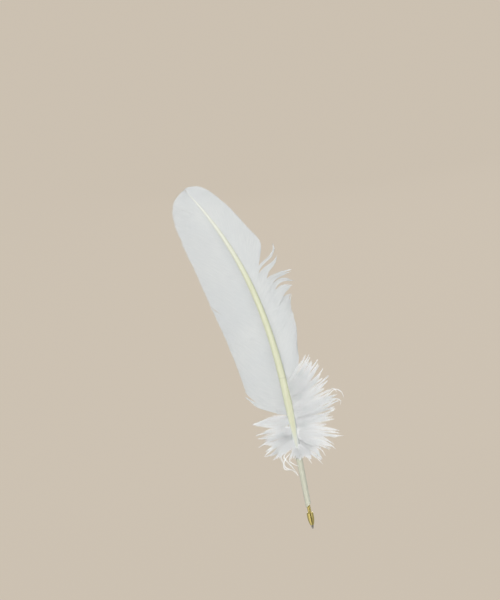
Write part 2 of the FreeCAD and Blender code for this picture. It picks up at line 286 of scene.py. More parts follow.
def barb_arcs(rows, share, side):
    """Root angle, tip angle and length of the even arcs that end where the rows say."""
    root_angle, tip_x, tip_z = smooth_columns(rows, share)
    root = shaft_point(share)
    lean = shaft_lean(share)
    dx, dz = tip_x - root[:, 0], tip_z - root[:, 2]
    up = dz * np.cos(lean) - dx * np.sin(lean)
    out = side * (dx * np.cos(lean) + dz * np.sin(lean))
    chord_angle = np.degrees(np.arctan2(out, up))
    tip_angle = 2 * chord_angle - root_angle
    half_turn = np.radians(np.abs(tip_angle - root_angle)) / 2
    length = np.hypot(up, out) * half_turn / np.maximum(np.sin(half_turn), 1e-6)
    length = np.where(half_turn < 1e-4, np.hypot(up, out), length)
    return root_angle, tip_angle, length


def barb_lines(share, side, root_angle, tip_angle, length, way, camber):
    """Centre lines of barbs that turn evenly from root to tip, as (barb, step, xyz)."""
    start = np.radians(root_angle)[:, None]
    turn = np.radians(tip_angle - root_angle)[:, None] * way
    turn = np.where(np.abs(turn) < 1e-5, 1e-5, turn)
    run = length[:, None] * way
    out = run * (np.cos(start) - np.cos(start + turn)) / turn
    up = run * (np.sin(start + turn) - np.sin(start)) / turn
    lean = shaft_lean(share)[:, None]
    root = shaft_point(share)[:, None, :]
    x = root[..., 0] - up * np.sin(lean) + side * out * np.cos(lean)
    z = root[..., 2] + up * np.cos(lean) + side * out * np.sin(lean)
    y = root[..., 1] + camber * way**2 + 0 * x
    return np.stack([x, y, z], -1)


def unit(vectors):
    return vectors / np.maximum(np.linalg.norm(vectors, axis=-1, keepdims=True), 1e-9)


def frames(lines):
    """Tangent, across and outward normal at each point of each line; across lies in the vane."""
    tangent = unit(np.gradient(lines, axis=1))
    across = unit(np.cross(tangent, BACKWARD))
    normal = np.cross(across, tangent)
    return tangent, across, normal


def curve_through(points, steps):
    """Smooth lines through rows of control points (line, point, xyz), evenly stepped."""
    gaps = np.linalg.norm(np.diff(points, axis=1), axis=-1).mean(0)
    knots = np.concatenate([[0.0], np.cumsum(gaps)])
    knots /= knots[-1]
    slopes = np.gradient(points, knots, axis=1)
    at = np.linspace(0, 1, steps + 1)
    low = np.clip(np.searchsorted(knots, at, "right") - 1, 0, len(knots) - 2)
    gap = (knots[low + 1] - knots[low])[None, :, None]
    t = (at - knots[low])[None, :, None] / gap
    ends = points[:, low], slopes[:, low] * gap, points[:, low + 1], slopes[:, low + 1] * gap
    return cubic(t, *ends)


# ---- Mesh making ----
def make_mesh(name, vertices, faces, barb_uv=None, bake_uv=None):
    """A piece from vertices in millimetres and rows of faces, each an array of equal corners."""
    mesh = bpy.data.meshes.new(name)
    mesh.vertices.add(len(vertices))
    mesh.vertices.foreach_set("co", (np.asarray(vertices, float) * MM).ravel())
    corners = np.concatenate([rows.ravel() for rows in faces])
    sizes = np.concatenate([np.full(len(rows), rows.shape[1]) for rows in faces])
    starts = np.concatenate([[0], np.cumsum(sizes)[:-1]])
    mesh.loops.add(len(corners))
    mesh.loops.foreach_set("vertex_index", corners.astype(np.int32))
    mesh.polygons.add(len(sizes))
    mesh.polygons.foreach_set("loop_start", starts.astype(np.int32))
    mesh.polygons.foreach_set("use_smooth", np.ones(len(sizes), bool))
    mesh.update(calc_edges=True)
    for map_name, uv in (("OFBake", bake_uv), ("barbs", barb_uv)):
        if uv is not None:
            layer = mesh.uv_layers.new(name=map_name)
            layer.uv.foreach_set("vector", uv[corners].astype(np.float32).ravel())
    piece = bpy.data.objects.new(name, mesh)
    bpy.context.scene.collection.objects.link(piece)
    return piece


def quads_between(near, far):
    """Faces that join rings of vertex numbers to the rings after them."""
    quads = [near, np.roll(near, -1, -1), np.roll(far, -1, -1), far]
    return np.stack(quads, -1).reshape(-1, 4)


def tube_arrays(rings):
    """Vertices, faces and maps of closed tubes from rings of points (tube, step, corner, xyz)."""
    count, steps, corners = rings.shape[:3]
    index = np.arange(count * steps * corners).reshape(count, steps, corners)
    sides = quads_between(index[:, :-1], index[:, 1:])
    caps = np.concatenate([index[:, 0, ::-1], index[:, -1]])
    u = np.linspace(0, 1, steps)[None, :, None] + np.zeros((count, 1, corners))
    v = np.arange(count)[:, None, None] + (np.arange(corners) / corners)[None, None, :] + 0 * u
    barb_uv = np.stack([u, v], -1).reshape(-1, 2)
    bake_uv = np.stack([0.01 + 0.98 * u, (v + 0.1) / (count + 0.2)], -1).reshape(-1, 2)
    return rings.reshape(-1, 3), [sides, caps], barb_uv, bake_uv


def ribbon_rings(lines, half_width, half_depth):
    """Diamond sections with a ridge in front and a keel behind, as barbs have."""
    _, across, normal = frames(lines)
    wide = across * half_width[..., None]
    deep = normal * half_depth[..., None]
    return np.stack([lines - wide, lines - deep, lines + wide, lines + deep], 2)


def round_rings(lines, radius, corners):
    _, across, normal = frames(lines)
    angles = np.linspace(0, 2 * math.pi, corners, endpoint=False)
    return np.stack(
        [
            lines + radius[..., None] * (math.cos(a) * across + math.sin(a) * normal)
            for a in angles
        ],
        2,
    )


def join_arrays(parts):
    """Several results of tube_arrays as one."""
    vertices, faces, barb_uv, bake_uv = [], [], [], []
    offset = 0
    total = sum(len(part[0]) for part in parts)
    low = 0.0
    for part in parts:
        share = len(part[0]) / total
        vertices.append(part[0])
        faces += [rows + offset for rows in part[1]]
        barb_uv.append(part[2])
        bake_uv.append(part[3] * [1, share] + [0, low])
        offset += len(part[0])
        low += share
    return np.concatenate(vertices), faces, np.concatenate(barb_uv), np.concatenate(bake_uv)


def neighbour_gap(lines):
    """How far apart neighbouring barbs lie, square to their own direction."""
    _, across, _ = frames(lines)
    between = np.gradient(lines, axis=0)
    return np.abs((between * across).sum(-1))


def slow_noise(count, reach, strength):
    """Random numbers that change over about `reach` neighbours."""
    knots = max(4, int(count / reach) + 3)
    values = rng.normal(0, strength, knots)
    return np.interp(np.linspace(0, knots - 1, count), np.arange(knots), values)


# ---- Vanes ----
BARB_GAPS = (0.10, 0.75)  # least and greatest gap that a barb's width follows
FINE_GAP = 0.32  # below this gap a barb also gets thinner
BARB_DEPTH = 0.10
BARB_OVERLAP = 0.56
BARB_POINT = 0.035  # share of a barb's length that tapers to its tip
BARB_TILT = 0.035
BARB_JITTER = 0.012
LOCK_ROLL = 0.35
LOCK_JITTER = 0.08


def barb_arrays(lines):
    """Flat tapering barbs that lie like roof tiles, each one's upper edge under the next."""
    count = len(lines)
    way = np.linspace(0, 1, lines.shape[1])
    gap = np.clip(neighbour_gap(lines), *BARB_GAPS)
    tip = np.clip((1 - way) / BARB_POINT, 0, 1) ** 0.6
    half_width = gap * BARB_OVERLAP * (0.06 + 0.94 * tip)
    fine = np.clip(gap / FINE_GAP, 0.3, 1.0)
    half_depth = BARB_DEPTH * (1 - 0.65 * way) * (0.3 + 0.7 * tip) * fine
    rings = ribbon_rings(lines, half_width, half_depth)
    rings[:, :, 0, 1] += BARB_TILT * fine**2
    rings[:, :, 2, 1] -= BARB_TILT * fine**2
    rings[:, :, :, 1] += rng.normal(0, BARB_JITTER, (count, 1, 1))
    return tube_arrays(rings)


def vane_lines(rows, side, camber, low, high):
    """A vane's barbs between two shares of the rachis, each slightly off its neighbours."""
    count = int((high - low) * RACHIS_LENGTH / BARB_SPACING) + 1
    share = np.linspace(low, high, count)
    root_angle, tip_angle, length = barb_arcs(rows, share, side)
    length = length + slow_noise(count, 12, 0.12) + rng.normal(0, 0.10, count)
    tip_angle = tip_angle + slow_noise(count, 14, 0.25) + slow_noise(count, 50, 0.4)
    way = np.linspace(0, 1, BARB_STEPS + 1)
    lines = barb_lines(share, side, root_angle, tip_angle, length, way, camber)
    lines[..., 1] += slow_noise(count, 30, 0.22)[:, None] * way**1.5
    return lines


def part_at(lines, near_first, opening, depth, reach, step):
    """Opens a split at a vane's end: the nearest barbs' tips bend away from it and step back."""
    count, steps = lines.shape[:2]
    way = np.linspace(0, 1, steps)
    order = np.arange(count) if near_first else np.arange(count)[::-1]
    close = np.exp(-((order * BARB_SPACING / reach) ** 2))
    _, across, _ = frames(lines)
    away = np.sign((np.gradient(lines, axis=0) * across).sum(-1, keepdims=True))
    away = away if near_first else -away
    bend = np.sin(math.pi * np.clip((way - (1 - depth)) / depth, 0, 0.93))
    amount = (close[:, None] * bend)[..., None]
    return lines + away * across * amount * opening + BACKWARD * amount * step


def add_piece(name, arrays, material):
    piece = make_mesh(name, arrays[0], arrays[1], arrays[2], arrays[3])
    piece.data.materials.append(material)
    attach(piece, "quill")
    return piece


def lock_lines(low, high, lift, stations, side, rows, camber):
    """Barbs that leave the shaft as the vane's do and then gather along the lock's middle line."""
    count = max(6, int((high - low) * RACHIS_LENGTH / BARB_SPACING))
    share = np.linspace(low, high, count)
    root_angle, tip_angle, length = barb_arcs(rows, share, side)
    first_part = np.array([0.0, 0.10, 0.28])
    natural = barb_lines(share, side, root_angle, tip_angle, length, first_part, camber)
    middle = np.array([(x, z) for x, z, _ in stations])
    width = np.array([w for _, _, w in stations])
    along = unit(np.gradient(middle, axis=0))
    square = side * np.stack([-along[:, 1], along[:, 0]], -1)
    place = np.linspace(-0.5, 0.5, count)
    spots = middle + place[:, None, None] * (square * width[:, None])
    part_way = np.linspace(0.5, 1.0, len(stations))
    root_y = shaft_point(share)[:, 1]
    depth = root_y[:, None] + camber * part_way**2 + lift * ((part_way - 0.3) / 0.7) ** 1.5
    roll = LOCK_ROLL * place[:, None] * width * np.sin(math.pi * (2 * part_way - 1))
    depth = depth + rng.normal(0, LOCK_JITTER, (count, 1)) * part_way + roll
    guided = np.stack([spots[..., 0], depth, spots[..., 1]], -1)
    lines = curve_through(np.concatenate([natural, guided], 1), BARB_STEPS + 4)
    ends = 1 - 0.05 * np.abs(rng.normal(0, 1, count))
    ends = np.clip(ends - 0.12 * np.abs(2 * place) ** 3, 0.7, 1.0)
    steps = lines.shape[1]
    at = np.linspace(0, 1, steps)
    for i in range(count):
        for axis in range(3):
            lines[i, :, axis] = np.interp(at * ends[i], at, lines[i, :, axis])
    return lines


# ---- Down ----
RAMUS_STEPS = 22
RAMUS_RADIUS = 0.13
BARBULE_SPACING = 0.46
BARBULE_LENGTH = 3.8
BARBULE_RADII = (0.058, 0.046, 0.012)  # at its base, middle and tip
RAMUS_TAPER = 0.72
PLACE_JITTER = 0.06
HEAD_JITTER = 0.32
TUFT_REACH = (0.84, 1.05)  # how far a tuft's longest ramus goes, as a share of the lock
RAMUS_REACH = (0.86, 1.0)  # and each ramus, as a share of its tuft
GATHERED = 0.92  # how closely a tuft's tips come together
GATHER_START = 0.50  # share of the lock at which its tufts begin to gather
GATHER_RUN = 0.42
SWAY_PACES = (3.0, 7.0)
FRINGE_ENDS = (0.07, 0.985)  # shares of a ramus between which its barbules stand
BARBULE_ANGLES = (28, 50)
BARBULE_ROLL = 34
BARBULE_BEND = 0.62
BARBULE_SIZES = (0.75, 1.2)
STRAND_HAIRS = 3
STRAND_STEPS = 30
STRAND_Y = -2.7
STRAND_RADIUS = 0.15
STRAND_FRINGE = 1.1


def down_arrays(row, side, layer, rami, tufts, root_y, profile=DOWN_PROFILE):
    """A lock of down: fine rami that spread from the shaft and gather into pointed tufts."""
    height, root_angle, tip_angle, length, width = row
    share = np.array([height / RACHIS_LENGTH])
    way = np.linspace(0, 1, 61)
    centre = barb_lines(
        share, side, np.array([root_angle]), np.array([tip_angle]), np.array([length]), way, 0.0
    )
    _, across, _ = frames(centre)
    centre, across = centre[0], across[0]
    fullness = np.interp(way, PROFILE_PLACES, profile)

    place = np.linspace(-1, 1, rami) + rng.normal(0, PLACE_JITTER, rami)
    tuft = np.minimum(np.arange(rami) * tufts // rami, tufts - 1)
    heads = (2 * np.arange(tufts) + 1) / tufts - 1
    heads = heads + rng.normal(0, HEAD_JITTER / tufts, tufts)
    tuft_reach = rng.uniform(*TUFT_REACH, tufts) - 0.14 * np.abs(heads) ** 1.5
    reach = tuft_reach[tuft] * rng.uniform(*RAMUS_REACH, rami)
    at = np.linspace(0, 1, RAMUS_STEPS + 1)[None, :] * reach[:, None]
    gather = GATHERED * np.clip((at - GATHER_START) / GATHER_RUN, 0, 1) ** 1.3
    place_at = place[:, None] * (1 - gather) + heads[tuft][:, None] * gather
    phase = rng.uniform(0, 2 * math.pi, (tufts, 2))[tuft] + rng.normal(0, 0.4, (rami, 2))
    pace = rng.uniform(*SWAY_PACES, (tufts, 2))[tuft]
    sway = (0.10 + 1.15 * at**1.7) * np.sin(pace[:, :1] * at + phase[:, :1])
    wide = np.interp(at, way, fullness) * width / 2
    lines = np.empty((rami, RAMUS_STEPS + 1, 3))
    for axis in range(3):
        middle = np.interp(at, way, centre[:, axis])
        square = np.interp(at, way, across[:, axis])
        lines[..., axis] = middle + square * (wide * place_at + sway)
    rise = layer * np.sin(np.clip(at * 1.6, 0, 1.57)) * rng.uniform(0.6, 1.1, (rami, 1))
    depth = root_y + rise + 0.5 * at * np.sin(pace[:, 1:] * at + phase[:, 1:])
    lines[..., 1] = shaft_point(share)[0, 1] + depth
    return fringed_arrays(lines, length * reach, RAMUS_RADIUS, BARBULE_LENGTH)


def strand_arrays(stations, twist):
    """A few hairs that run together along a loose strand's middle line."""
    points = np.array([(x, STRAND_Y, z) for x, z in stations])
    points[:, 1] += 0.5 * np.sin(np.linspace(0, 3, len(points)))
    lines = curve_through(np.repeat(points[None], STRAND_HAIRS, 0), STRAND_STEPS)
    way = np.linspace(0, 1, STRAND_STEPS + 1)
    spread = np.linspace(0, 2 * math.pi, STRAND_HAIRS, endpoint=False)
    turn = spread[:, None] + twist + 4 * way
    apart = 0.34 * np.sin(math.pi * np.clip(way + 0.04, 0, 1)) + 0.05
    lines[..., 0] += apart * np.cos(turn)
    lines[..., 1] += apart * np.sin(turn)
    lines[..., 2] += 0.6 * apart * np.sin(turn + 1.3)
    run = np.linalg.norm(np.diff(points, axis=0), axis=1).sum()
    return fringed_arrays(lines, np.full(STRAND_HAIRS, run), STRAND_RADIUS, STRAND_FRINGE)


def fringed_arrays(lines, runs, radius, barbule_length):
    """Tapering rami along the lines, with soft barbules to both sides."""
    rami, steps = lines.shape[0], lines.shape[1] - 1
    grid = np.linspace(0, 1, steps + 1)
    thin = radius * (1 - RAMUS_TAPER * grid)[None, :] + np.zeros((rami, 1))
    rami_part = tube_arrays(round_rings(lines, thin, 4))
    tangent, sideways, _ = frames(lines)
    bases, tips, mids = [], [], []
    for i in range(rami):
        number = int(runs[i] / BARBULE_SPACING)
        spots = np.linspace(*FRINGE_ENDS, number) + rng.normal(0, 0.004, number)
        spots = np.clip(spots, 0.03, 0.99)
        for hand in (-1, 1):
            base, ahead, beside = (
                np.stack([np.interp(spots, grid, line[i, :, k]) for k in range(3)], -1)
                for line in (lines, tangent, sideways)
            )
            spread = rng.uniform(*BARBULE_ANGLES, number) * (1 - 0.45 * spots)
            spread = np.radians(spread)[:, None]
            roll = np.radians(rng.normal(0, BARBULE_ROLL, number))[:, None]
            out = hand * beside * np.cos(roll) + BACKWARD * np.sin(roll)
            size = barbule_length * (1 - RAMUS_TAPER * spots) * rng.uniform(*BARBULE_SIZES, number)
            half_size = size[:, None] / 2
            middle = base + half_size * (ahead * np.cos(spread) + out * np.sin(spread))
            bent = spread * BARBULE_BEND
            tip = middle + half_size * (ahead * np.cos(bent) + out * np.sin(bent))
            bases.append(base)
            mids.append(middle)
            tips.append(tip)
    barbules = np.stack([np.concatenate(bases), np.concatenate(mids), np.concatenate(tips)], 1)
    barbule_radius = np.array(BARBULE_RADII)[None, :] + np.zeros((len(barbules), 1))
    barbule_part = tube_arrays(round_rings(barbules, barbule_radius, 3))
    return join_arrays([rami_part, barbule_part])


# ---- Materials ----
VANE_DARK = (0.655, 0.668, 0.658)
VANE_LIGHT = (0.725, 0.733, 0.716)
VANE_SHADE = (0.640, 0.658, 0.660)
# Painted shade: the barbs' roots are greyer where the shaft shadows them.
VANE_SHAFT_SHADE = (0.570, 0.582, 0.575)
# How fine a grain is along each axis of the pen.
HORN_GRAIN = (1500.0, 1500.0, 30.0)
TURNED_GRAIN = (60.0, 60.0, 9000.0)
DRAWN_GRAIN = (2600.0, 2600.0, 50.0)


def set_inputs(shader_node, **constants):
    """Constant values for a node's sockets, with _ for the spaces in their names."""
    for key, value in constants.items():
        shader_node.inputs[key.replace("_", " ")].default_value = value
    return shader_node


def new_material(name, **constants):
    material = bpy.data.materials.new(name)
    material.use_nodes = True
    tree = material.node_tree
    shader = set_inputs(tree.nodes["Principled BSDF"], **constants)
    return material, tree, shader


def two_tone(tree, source, low, high):
    """A colour that goes from low to high over the middle of a noise."""
    made = tree.nodes.new("ShaderNodeValToRGB")
    first, second = made.color_ramp.elements
    first.position, first.color = 0.3, (*low, 1)
    second.position, second.color = 0.7, (*high, 1)
    tree.links.new(source, made.inputs["Fac"])
    return made.outputs["Color"]


def barb_map(tree):
    """Place along a barb, and the barb's number."""
    source = tree.nodes.new("ShaderNodeUVMap")
    source.uv_map = "barbs"
    return source.outputs["UV"]


def object_place(tree):
    return tree.nodes.new("ShaderNodeTexCoord").outputs["Object"]


def stretched(tree, place, scale):
    mapping = set_inputs(tree.nodes.new("ShaderNodeMapping"), Scale=scale)
    tree.links.new(place, mapping.inputs["Vector"])
    return mapping.outputs["Vector"]


def axis_values(tree, place):
    axes = tree.nodes.new("ShaderNodeSeparateXYZ")
    tree.links.new(place, axes.inputs[0])
    return axes.outputs


def noise(tree, vector, scale, detail=3.0, roughness=0.5):
    made = tree.nodes.new("ShaderNodeTexNoise")
    set_inputs(made, Scale=scale, Detail=detail, Roughness=roughness)
    tree.links.new(vector, made.inputs["Vector"])
    return made.outputs["Fac"]


def bump(tree, shader, height, strength, distance):
    made = set_inputs(tree.nodes.new("ShaderNodeBump"), Strength=strength, Distance=distance)
    tree.links.new(height, made.inputs["Height"])
    tree.links.new(made.outputs["Normal"], shader.inputs["Normal"])


def mix(tree, factor, first, second):
    """Two colours mixed; each may be a socket or a plain colour."""
    made = tree.nodes.new("ShaderNodeMix")
    made.data_type = "RGBA"
    tree.links.new(factor, made.inputs["Factor"])
    for socket, value in ((made.inputs[6], first), (made.inputs[7], second)):
        if isinstance(value, tuple):
            socket.default_value = (*value, 1)
        else:
            tree.links.new(value, socket)
    return made.outputs[2]


def span(tree, value, low, high, first=0.0, second=1.0):
    """A value's place between low and high, from first to second."""
    made = tree.nodes.new("ShaderNodeMapRange")
    set_inputs(made, From_Min=low, From_Max=high, To_Min=first, To_Max=second)
    tree.links.new(value, made.inputs["Value"])
    return made.outputs["Result"]


def maths(tree, operation, first, second=None):
    made = tree.nodes.new("ShaderNodeMath")
    made.operation = operation
    tree.links.new(first, made.inputs[0])
    if isinstance(second, float):
        made.inputs[1].default_value = second
    elif second is not None:
        tree.links.new(second, made.inputs[1])
    return made.outputs[0]


def vane_material():
    """White barbs, each a little different, with painted shade of the shaft over the barbs' roots,
    and broad soft areas.
    """
    material, tree, shader = new_material("vane_barbs", Roughness=0.62, Sheen_Weight=0.15)
    barbs = barb_map(tree)
    value = noise(tree, stretched(tree, barbs, (5.0, 0.35, 1.0)), 1.0, 4.0, 0.6)
    colour = two_tone(tree, value, VANE_DARK, VANE_LIGHT)
    broad = noise(tree, object_place(tree), 26.0, 2.0)
    colour = mix(tree, span(tree, broad, 0.40, 0.66, 0.0, 0.55), colour, VANE_SHADE)
    # Painted shade of the shaft, darkest at each barb's root and fading along the barb.
    root = span(tree, axis_values(tree, barbs)["X"], 0.02, 0.24, 0.45, 0.0)
    colour = mix(tree, root, colour, VANE_SHAFT_SHADE)
    tree.links.new(colour, shader.inputs["Base Color"])
    barbules = noise(tree, stretched(tree, barbs, (260.0, 1.0, 1.0)), 1.0, 1.0)
    bump(tree, shader, barbules, 0.25, 0.00005)
    return material


def down_material():
    """White down with painted shade of its hollows: faintly greyer patches that a noise places."""
    material, tree, shader = new_material("down_barbules", Roughness=0.8, Sheen_Weight=0.25)
    place = object_place(tree)
    value = noise(tree, place, 260.0, 3.0)
    colour = two_tone(tree, value, (0.97, 0.98, 0.97), (0.99, 0.99, 0.985))
    # Painted shade: greyer patches, placed by a noise, stand in for shade in the down's hollows.
    hollow_shade = noise(tree, place, 150.0, 1.5)
    colour = mix(tree, span(tree, hollow_shade, 0.54, 0.70, 0.0, 0.5), colour, (0.84, 0.87, 0.86))
    tree.links.new(colour, shader.inputs["Base Color"])
    return material


def calamus_material():
    """Cream horn with lengthwise streaks and a few clouded spots."""
    material, tree, shader = new_material("calamus_horn", Roughness=0.34, Coat_Weight=0.15)
    place = object_place(tree)
    streaks = noise(tree, stretched(tree, place, HORN_GRAIN), 1.0, 3.0)
    colour = two_tone(tree, streaks, (0.490, 0.490, 0.385), (0.570, 0.570, 0.455))
    spots = noise(tree, stretched(tree, place, (1, 1, 0.55)), 420.0, 2.0)
    clouded = span(tree, spots, 0.60, 0.70, 0.0, 0.5)
    colour = mix(tree, clouded, colour, (0.66, 0.66, 0.57))
    specks = span(tree, spots, 0.30, 0.36, 0.45, 0.0)
    colour = mix(tree, specks, colour, (0.40, 0.40, 0.30))
    tree.links.new(colour, shader.inputs["Base Color"])
    bump(tree, shader, streaks, 0.15, 0.00006)
    return material


def rachis_material():
    """Pale yellow horn, whitish at the tip and beside a yellow wedge at the calamus."""
    material, tree, shader = new_material("rachis_horn", Roughness=0.42, Coat_Weight=0.10)
    place = object_place(tree)
    streaks = noise(tree, stretched(tree, place, HORN_GRAIN), 1.0, 3.0)
    gold = two_tone(tree, streaks, (0.570, 0.575, 0.392), (0.628, 0.638, 0.468))
    axes = axis_values(tree, place)
    across, height = axes["X"], axes["Z"]
    # Heights are in metres. The yellow narrows to a point at the calamus.
    beside = (0.600, 0.618, 0.595)
    gold = mix(tree, span(tree, height, 0.064, 0.084, 0.9, 0.0), gold, beside)
    half_wedge = span(tree, height, 0.063, 0.104, 0.0006, 0.0036)
    inside = maths(tree, "SUBTRACT", half_wedge, maths(tree, "ABSOLUTE", across))
    wedge = span(tree, inside, -0.0003, 0.0006)
    yellow = maths(tree, "MAXIMUM", wedge, span(tree, height, 0.104, 0.122))
    colour = mix(tree, yellow, beside, gold)
    # One fault bar lies across the shaft.
    bar = maths(tree, "ABSOLUTE", maths(tree, "SUBTRACT", height, 0.1232))
    colour = mix(tree, span(tree, bar, 0.0001, 0.0006, 0.45, 0.0), colour, (0.45, 0.44, 0.33))
    colour = mix(tree, span(tree, height, 0.200, 0.272), colour, (0.690, 0.690, 0.635))
    tree.links.new(colour, shader.inputs["Base Color"])
    bump(tree, shader, streaks, 0.18, 0.00008)
    return material


def metal_material(name, low, high, roughness, grain=TURNED_GRAIN):
    material, tree, shader = new_material(name, Roughness=roughness, Metallic=1.0)
    value = noise(tree, stretched(tree, object_place(tree), grain), 1.0, 2.0)
    tree.links.new(two_tone(tree, value, low, high), shader.inputs["Base Color"])
    bump(tree, shader, value, 0.10, 0.00001)
    return material


def plain_material(name, low, high, roughness, grain):
    material, tree, shader = new_material(name, Roughness=roughness)
    value = noise(tree, object_place(tree), grain, 4.0)
    tree.links.new(two_tone(tree, value, low, high), shader.inputs["Base Color"])
    bump(tree, shader, value, 0.3, 0.00004)
    return material


# ---- Shaft, calamus and refill ----
def swept_rings(share, half_width, half_depth, groove, corners=40):
    """Rings round the shaft; the ventral side has a shallow groove."""
    centre = shaft_point(share)
    lean = shaft_lean(share)
    across = np.stack([np.cos(lean), 0 * lean, np.sin(lean)], -1)
    angle = np.linspace(0, 2 * math.pi, corners, endpoint=False)
    wide = np.cos(angle)[None, :] * half_width[:, None]
    deep = np.sin(angle)[None, :] * half_depth[:, None]
    hollow = np.exp(-((np.cos(angle) / 0.36) ** 2)) * (np.sin(angle) > 0)
    deep = deep - hollow[None, :] * groove[:, None] * half_depth[:, None]
    flat = centre[:, None, :] + across[:, None, :] * wide[..., None]
    return flat + BACKWARD * deep[..., None]


def make_rachis(material):
    """The tapering shaft with a groove behind and a closed, pointed tip."""
    share = np.concatenate([np.linspace(0, 0.96, 110), np.linspace(0.965, 1.0, 8)])
    half = shaft_half_width(share)
    half = half * (1 - 0.7 * np.clip((share - 0.95) / 0.05, 0, 1))
    depth = half * (1 - TIP_FLATTENING * share)
    groove = 0.30 * np.clip((share - 0.02) / 0.10, 0, 1)
    rings = swept_rings(share, half, depth, groove)[None]
    piece = add_piece("rachis_shaft", tube_arrays(rings), material)
    piece.data.set_sharp_from_angle(angle=math.radians(50))
    return piece


def spun(outline, corners):
    """Points of (radius, z) turned round the axis, and their numbers as rings."""
    angle = np.linspace(0, 2 * math.pi, corners, endpoint=False)
    radius, z = np.array(outline, float).T[..., None]
    vertices = np.stack([radius * np.cos(angle), radius * np.sin(angle), z + 0 * angle], -1)
    index = np.arange(len(outline) * corners).reshape(len(outline), corners)
    return vertices.reshape(-1, 3), index


def lathe(name, outline, material, body, corners=96):
    """A turned piece from a closed outline of (radius, z); repeated corners stay sharp."""
    vertices, index = spun(outline, corners)
    piece = make_mesh(name, vertices, [quads_between(index, np.roll(index, -1, 0))])
    piece.data.set_sharp_from_angle(angle=math.radians(24))
    piece.data.materials.append(material)
    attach(piece, body)
    return piece


def arc(start, end, bulge, steps):
    """Points along a curve that leaves the end's radius along the axis."""
    t = np.linspace(0, 1, steps)
    radius = start[0] + (end[0] - start[0]) * np.sin(t * math.pi / 2) ** bulge
    return [(r, start[1] + (end[1] - start[1]) * s) for r, s in zip(radius, t)]


def make_calamus(material):
    """A tapering tube, cut on a slant at its mouth."""
    corners, rows = 72, 40
    angle = np.linspace(0, 2 * math.pi, corners, endpoint=False)
    part_way = np.linspace(0, 1, rows)[:, None]
    slope = (CALAMUS_RADIUS - MOUTH_RADIUS) / (CALAMUS_TOP - MOUTH_Z + MOUTH_SLANT)

    def wall(inset):
        x = np.cos(angle) * (MOUTH_RADIUS - inset)
        foot = MOUTH_Z + x * MOUTH_SLANT / (2 * MOUTH_RADIUS)
        z = foot + (CALAMUS_TOP - foot) * part_way
        radius = MOUTH_RADIUS - inset + slope * (z - MOUTH_Z + MOUTH_SLANT)
        return np.stack([radius * np.cos(angle), radius * np.sin(angle), z], -1)

    outer, inner = wall(0.0), wall(CALAMUS_WALL)
    lip = (outer[:1] + inner[:1]) / 2 + [0, 0, -LIP_ROUNDING]
    rings = np.concatenate([outer, inner[::-1], lip])
    index = np.arange(len(rings) * corners).reshape(len(rings), corners)
    quads = quads_between(index, np.roll(index, -1, 0))
    piece = make_mesh("calamus_barrel", rings.reshape(-1, 3), [quads])
    piece.data.set_sharp_from_angle(angle=math.radians(40))
    piece.data.materials.append(material)
    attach(piece, "quill")
    return piece


# ---- Build ----
def build_vanes(material):
    """The vanes' barbs; the broad vane is parted at an old nick in its edge."""
    low, high = TRAILING_ROWS[0][0], TRAILING_ROWS[-1][0]
    trailing = vane_lines(TRAILING_ROWS, TRAILING, TRAILING_CAMBER, low, high)
    split = int(len(trailing) * (TRAILING_SPLIT - low) / (high - low))
    below = part_at(
        trailing[:split], near_first=False, opening=0.36, depth=0.20, reach=4.0, step=0.5
    )
    above = part_at(
        trailing[split:], near_first=True, opening=0.06, depth=0.20, reach=4.0, step=-1.1
    )
    low, high = LEADING_MIDDLE_ROWS[0][0], PANEL_LOW
    middle = vane_lines(LEADING_MIDDLE_ROWS, LEADING, LEADING_CAMBER, low, high)
    low, high = LEADING_UPPER_ROWS[0][0], LEADING_UPPER_ROWS[-1][0]
    upper = vane_lines(LEADING_UPPER_ROWS, LEADING, LEADING_CAMBER, low, high)
    for name, lines in (
        ("vane_trailing_lower", below),
        ("vane_trailing_upper", above),
        ("vane_leading_middle", middle),
        ("vane_leading_upper", upper),
    ):
        piece = add_piece(name + "_barbs", barb_arrays(lines), material)
        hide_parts(name)


def build_locks(material):
    """The loosened locks; the lowest one keeps a panel of smooth vane below it."""
    for name, strands in LEADING_LOCKS.items():
        parts = []
        if name == "lock_leading_5":
            rows, camber = LEADING_MIDDLE_ROWS, LEADING_CAMBER
            panel = vane_lines(rows, LEADING, camber, PANEL_LOW, PANEL_TOP)
            parts.append(barb_arrays(panel))
        for low, high, lift, stations in strands:
            lines = lock_lines(low, high, lift, stations, LEADING, LOCK_ROOTS, LEADING_CAMBER)
            parts.append(barb_arrays(lines))
        piece = add_piece(name + "_barbs", join_arrays(parts), material)
        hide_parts(name)
    low, high, lift, camber = 0.131, 0.149, -1.0, 2.0
    rows, stations = TRAILING_EDGE_ROOTS, TRAILING_EDGE_LOCK
    lines = lock_lines(low, high, lift, stations, TRAILING, rows, camber)
    piece = add_piece("lock_trailing_edge_barbs", barb_arrays(lines), material)
    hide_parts("lock_trailing_edge")


def down_parts(node_name, row, side, number):
    """One lock of down and the loose strands that belong to it."""
    height, width = row[0], row[4]
    layer = DOWN_LAYERS[number % len(DOWN_LAYERS)] * np.interp(height, LAYERS_MERGE, (1.0, 0.0))
    root_y = np.interp(height, ROOT_HEIGHTS, ROOT_YS) if layer < 0 else 0.0
    rami = int(10 + 2 * width)
    tufts, profile = max(2, round(width / 1.6)), DOWN_PROFILE
    if node_name == "down_trailing_01":
        tufts, profile = 1, POINTED_PROFILE
    elif height > FULL_HEIGHT:
        profile = FULL_PROFILE
    parts = [down_arrays(row, side, layer, rami, tufts, root_y, profile)]
    for k, line in enumerate(STRANDS.get(node_name, ())):
        parts.append(strand_arrays(line, number + k))
    return parts


